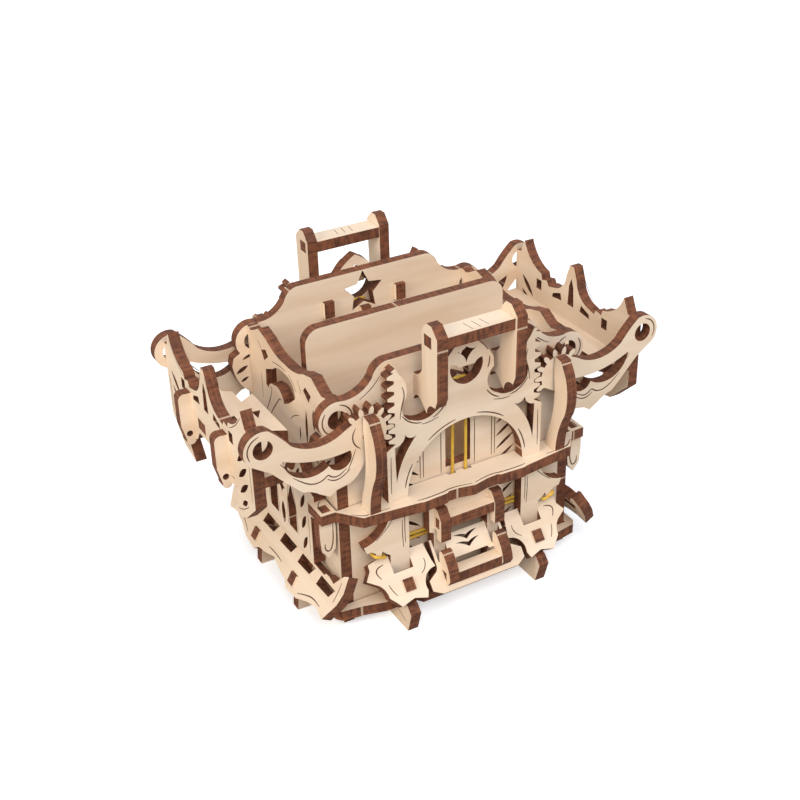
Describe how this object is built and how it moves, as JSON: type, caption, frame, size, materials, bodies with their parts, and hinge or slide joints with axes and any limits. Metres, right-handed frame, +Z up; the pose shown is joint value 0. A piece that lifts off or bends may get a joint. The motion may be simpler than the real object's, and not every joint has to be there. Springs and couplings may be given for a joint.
{
  "type": "deck box",
  "caption": "Wooden deck box whose card box lifts out of a frame and folds up two geared side trays.",
  "frame": {"origin": "on the ground under the middle of the box, halfway between the walls and between the wings", "axes": "+X along the front to the viewer's right, +Y from the latch side to the back, +Z up"},
  "size_m": [0.129, 0.0808, 0.0916],
  "materials": {
    "plywood": "sanded birch plywood, laser-burnt edges",
    "pin_wood": "round birch stick",
    "rubber": "natural rubber band"
  },
  "bodies": {
    "frame": {"back_arch_panel": "plywood", "back_feet": "plywood", "back_left_star_plate": "plywood", "back_lifting_band": "rubber", "back_retaining_bars": "plywood", "back_right_star_plate": "plywood", "back_shelf": "plywood", "back_slope_plate": "plywood", "back_struts": "plywood", "base_ring": "plywood", "front_arch_panel": "plywood", "front_feet": "plywood", "front_left_star_plate": "plywood", "front_lifting_band": "rubber", "front_retaining_bars": "plywood", "front_right_star_plate": "plywood", "front_shelf": "plywood", "front_slope_plate": "plywood", "latch_band": "rubber", "left_feet": "plywood", "left_screen": "plywood", "left_shields": "plywood", "left_skirt": "plywood", "rest_bar": "plywood", "rest_cheeks": "plywood", "right_feet": "plywood", "right_screen": "plywood", "right_shields": "plywood", "right_skirt": "plywood"},
    "card_box": {"front_wall": "plywood", "back_wall": "plywood", "left_side_panel": "plywood", "right_side_panel": "plywood", "divider": "plywood", "box_floor": "plywood", "front_handle_posts": "plywood", "back_handle_posts": "plywood", "front_handle_bar": "plywood", "back_handle_bar": "plywood", "front_band_hook": "plywood", "back_band_hook": "plywood", "left_pivot_pins": "pin_wood", "right_pivot_pins": "pin_wood"},
    "left_wing": {"front_left_arm": "plywood", "back_left_arm": "plywood", "left_wing_fence": "plywood", "left_tray_floor": "plywood", "left_tray_ribs": "plywood"},
    "right_wing": {"front_right_arm": "plywood", "back_right_arm": "plywood", "right_wing_fence": "plywood", "right_tray_floor": "plywood", "right_tray_ribs": "plywood"},
    "latch": {"latch_slide": "plywood", "grip_cheeks": "plywood", "grip_bar": "plywood"}
  },
  "joints": [
    {"name": "card_box_lift", "type": "slide", "parent": "frame", "child": "card_box", "axis": [0, 0, 1], "range_m": [0, 0.011], "deforming": ["front_lifting_band", "back_lifting_band"]},
    {"name": "left_wing_fold", "type": "hinge", "parent": "card_box", "child": "left_wing", "pos_m": [-0.0299, 0, 0.0634], "axis": [0, 1, 0], "range_deg": [0, 90.5]},
    {"name": "right_wing_fold", "type": "hinge", "parent": "card_box", "child": "right_wing", "pos_m": [0.0299, 0, 0.0634], "axis": [0, 1, 0], "range_deg": [-90.5, 0]},
    {"name": "latch_press", "type": "slide", "parent": "frame", "child": "latch", "axis": [0, 0, -1], "range_m": [0, 0.0016], "stiffness_N_per_m": 200, "springref_m": -0.001}
  ],
  "couplings": [
    {"joint": "left_wing_fold", "follows": "card_box_lift", "rad_per_m": 142.86},
    {"joint": "right_wing_fold", "follows": "card_box_lift", "rad_per_m": -142.86}
  ]
}
